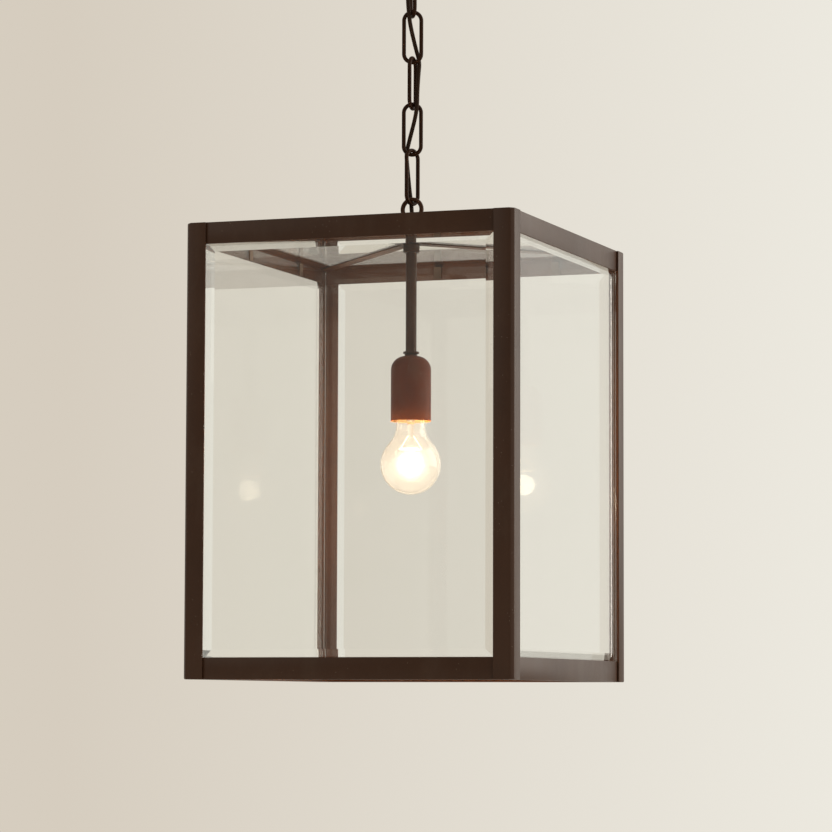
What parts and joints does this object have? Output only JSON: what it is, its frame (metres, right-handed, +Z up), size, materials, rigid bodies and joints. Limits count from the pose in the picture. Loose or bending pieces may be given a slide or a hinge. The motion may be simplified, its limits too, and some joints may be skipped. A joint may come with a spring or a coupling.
{
  "type": "hanging lantern",
  "caption": "Open-bottomed bronze lantern with bevelled glass sides, hung on an oval-link chain with a woven-in flex and one bare lamp.",
  "frame": {"origin": "centre of the ceiling fitting's top face, on the axis of the chain, where it meets the ceiling", "axes": "+Z up into the ceiling along the chain's axis, -Y out of the lantern's front, +X to its right"},
  "size_m": [0.334, 0.354, 0.79],
  "materials": {
    "bronze_frame": "satin",
    "bronze_fittings": "satin",
    "bronze_chain": "satin",
    "holder_metal": "satin",
    "clear_glass": "polished",
    "bulb_glass": "polished",
    "spring_steel": "satin",
    "zinc_steel": "satin",
    "screw_green": "satin",
    "phenolic": "matte",
    "brass": "satin",
    "cap_metal": "satin",
    "tungsten": "dull",
    "washer_rubber": "matte",
    "flex_braid": "woven"
  },
  "bodies": {
    "ceiling": {"ceiling_canopy": "bronze_fittings", "loop_collar": "bronze_fittings", "ceiling_crossbar": "zinc_steel", "earth_screw": "screw_green", "ceiling_nipple": "zinc_steel", "nipple_nut": "zinc_steel", "ceiling_loop": "bronze_fittings", "flex_tail": "flex_braid"},
    "link_1": {"chain_link_1": "bronze_chain", "flex_span_1": "flex_braid"},
    "link_2": {"chain_link_2": "bronze_chain", "flex_span_2": "flex_braid"},
    "link_3": {"chain_link_3": "bronze_chain", "flex_span_3": "flex_braid"},
    "link_4": {"chain_link_4": "bronze_chain", "flex_span_4": "flex_braid"},
    "link_5": {"chain_link_5": "bronze_chain", "flex_span_5": "flex_braid"},
    "lantern": {"post_front_left": "bronze_frame", "post_front_right": "bronze_frame", "post_back_right": "bronze_frame", "post_back_left": "bronze_frame", "top_rail_front": "bronze_frame", "top_rail_right": "bronze_frame", "top_rail_back": "bronze_frame", "top_rail_left": "bronze_frame", "bottom_rail_front": "bronze_frame", "bottom_rail_right": "bronze_frame", "bottom_rail_back": "bronze_frame", "bottom_rail_left": "bronze_frame", "glass_front": "clear_glass", "glass_right": "clear_glass", "glass_back": "clear_glass", "glass_left": "clear_glass", "glass_roof": "clear_glass", "glass_clips": "spring_steel", "roof_arm_front_left": "bronze_frame", "roof_arm_front_right": "bronze_frame", "roof_arm_back_right": "bronze_frame", "roof_arm_back_left": "bronze_frame", "hub_boss": "bronze_fittings", "loop_washer": "washer_rubber", "lantern_loop": "bronze_fittings", "stem_tube": "bronze_fittings", "holder_locknut": "bronze_fittings", "holder_cup": "holder_metal", "lampholder_body": "phenolic", "lampholder_shell": "brass", "lampholder_contact": "brass", "flex_span_6": "flex_braid", "flex_stem": "flex_braid"},
    "bulb": {"bulb_glass": "bulb_glass", "bulb_cap": "cap_metal", "bulb_contact": "cap_metal", "bulb_mount": "bulb_glass", "bulb_filament": "tungsten"}
  },
  "joints": [
    {"name": "link_1_swing", "type": "hinge", "parent": "ceiling", "child": "link_1", "pos_m": [0, 0, -0.057], "axis": [1, 0, 0], "range_deg": [-20, 20], "deforming": ["flex_span_1"]},
    {"name": "link_2_swing", "type": "hinge", "parent": "link_1", "child": "link_2", "pos_m": [0, 0, -0.1035], "axis": [0.5592, -0.829, 0], "range_deg": [-20, 20], "deforming": ["flex_span_2"]},
    {"name": "link_3_swing", "type": "hinge", "parent": "link_2", "child": "link_3", "pos_m": [0, 0, -0.1502], "axis": [0.9397, 0.342, 0], "range_deg": [-20, 20], "deforming": ["flex_span_3"]},
    {"name": "link_4_swing", "type": "hinge", "parent": "link_3", "child": "link_4", "pos_m": [0, 0, -0.1969], "axis": [0, 1, 0], "range_deg": [-20, 20], "deforming": ["flex_span_4"]},
    {"name": "link_5_swing", "type": "hinge", "parent": "link_4", "child": "link_5", "pos_m": [0, 0, -0.2436], "axis": [0.9703, 0.2419, 0], "range_deg": [-20, 20], "deforming": ["flex_span_5"]},
    {"name": "lantern_swing", "type": "hinge", "parent": "link_5", "child": "lantern", "pos_m": [0, 0, -0.2933], "axis": [0.342, 0.9397, 0], "range_deg": [-20, 20], "deforming": ["flex_span_6"]},
    {"name": "bulb_unscrew", "type": "slide", "parent": "lantern", "child": "bulb", "axis": [0, 0, -1], "range_m": [0, 0.026]}
  ]
}
